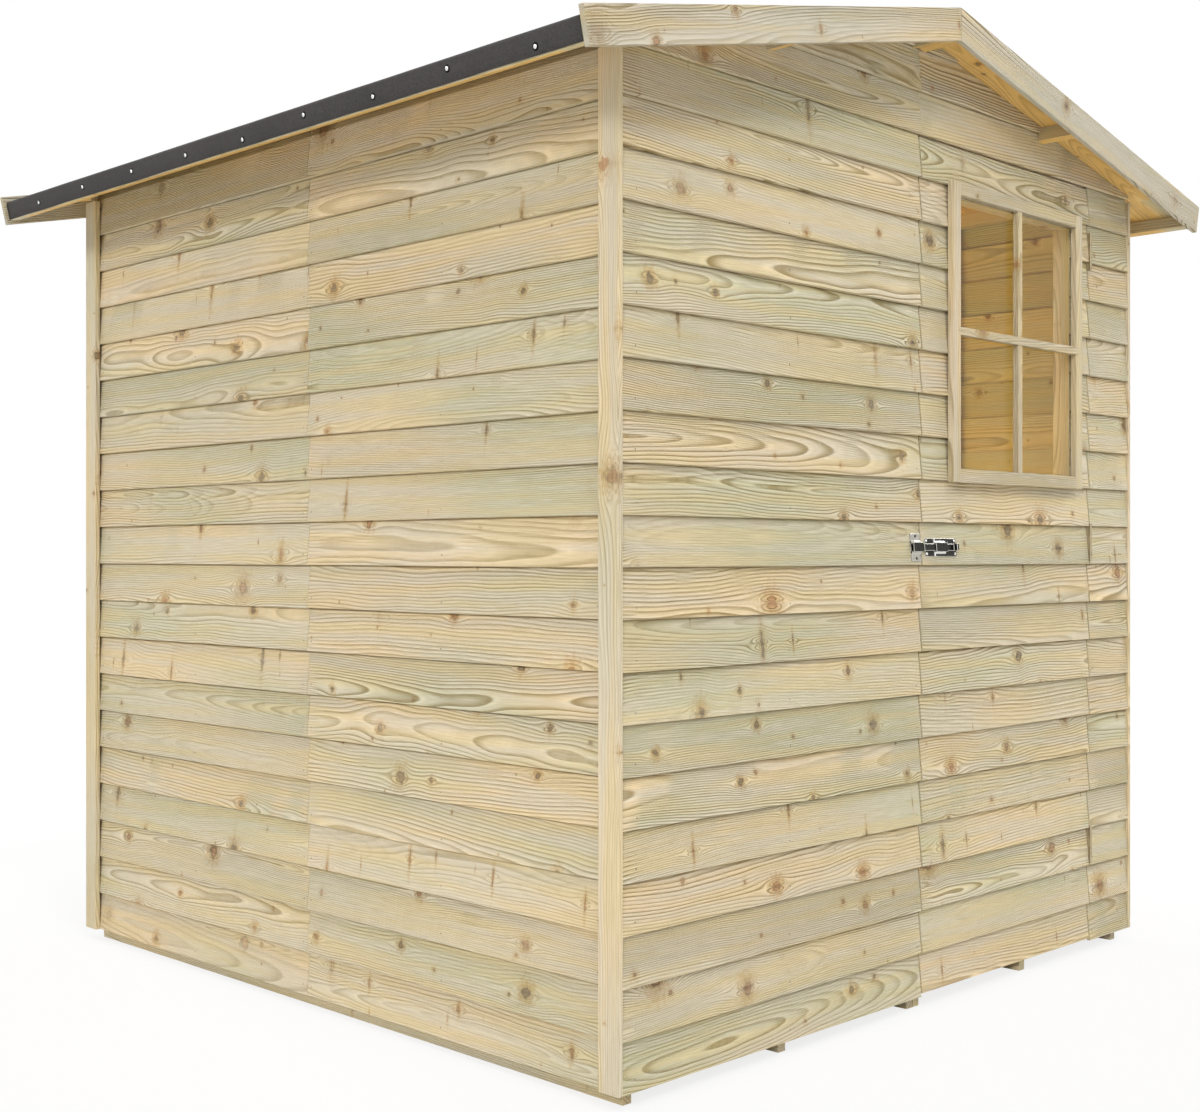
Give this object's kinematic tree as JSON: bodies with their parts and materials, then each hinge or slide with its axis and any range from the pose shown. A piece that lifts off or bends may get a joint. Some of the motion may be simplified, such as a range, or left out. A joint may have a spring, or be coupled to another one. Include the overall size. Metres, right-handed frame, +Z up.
{
  "type": "garden shed",
  "caption": "Small apex garden shed of overlap softwood boards on framing, with a floor, a felted roof with bargeboards and a part-glazed door with a slide bolt.",
  "frame": {"origin": "on the ground under the middle of the shed's outline", "axes": "+Z up, the gable with the door faces -Y, the side walls face +X and -X"},
  "size_m": [2.1966, 2.051, 2.0893],
  "materials": {
    "boards": "pressure-treated softwood overlap boards, pale green and cream with knots",
    "framing": "planed softwood framing, warm and pale",
    "strips": "planed softwood cover strips and window frame",
    "bargeboards": "planed softwood bargeboards, pale cream with knots",
    "floor": "treated softwood floor boards and joists",
    "roof_wood": "treated softwood roof boards and rails",
    "felt": "mineral roofing felt, charcoal, fine grit",
    "glazing": "clear window sheet",
    "hardware": "bright plated steel slide bolt and keeper",
    "hinges": "zinc plated steel hinges"
  },
  "bodies": {
    "root": {"floor_joists": "floor", "floor_boards": "floor", "left_cladding_front": "boards", "left_cladding_rear": "boards", "left_studs": "framing", "left_rails": "framing", "right_cladding_front": "boards", "right_cladding_rear": "boards", "right_studs": "framing", "right_rails": "framing", "rear_cladding_left": "boards", "rear_cladding_right": "boards", "rear_studs": "framing", "rear_rails": "framing", "front_cladding_left": "boards", "front_cladding_right": "boards", "front_cladding_gable": "boards", "front_studs": "framing", "front_rails": "framing", "gable_rafters": "framing", "corner_strips": "strips", "bolt_keeper": "hardware", "hinge_leaves_frame": "hinges", "roof_boards_left": "roof_wood", "roof_boards_right": "roof_wood", "roof_rails": "roof_wood", "roof_felt_left": "felt", "roof_felt_right": "felt", "ridge_felt": "felt", "bargeboard_front_left": "bargeboards", "bargeboard_front_right": "bargeboards", "bargeboard_rear_left": "bargeboards", "bargeboard_rear_right": "bargeboards"},
    "door": {"door_cladding_lower": "boards", "door_cladding_beside_window": "boards", "door_cladding_upper": "boards", "door_stiles": "framing", "door_rails": "framing", "window_stiles": "strips", "window_rails": "strips", "window_glass": "glazing", "bolt_plate": "hardware", "hinge_leaves_door": "hinges"},
    "bolt": {"slide_bolt": "hardware"}
  },
  "joints": [
    {"name": "door_hinge", "type": "hinge", "parent": "root", "child": "door", "pos_m": [0.714, -0.9315, 0.988], "axis": [0, 0, 1], "range_deg": [0, 110]},
    {"name": "bolt_slide", "type": "slide", "parent": "door", "child": "bolt", "axis": [-1, 0, 0], "range_m": [0, 0.022]}
  ]
}
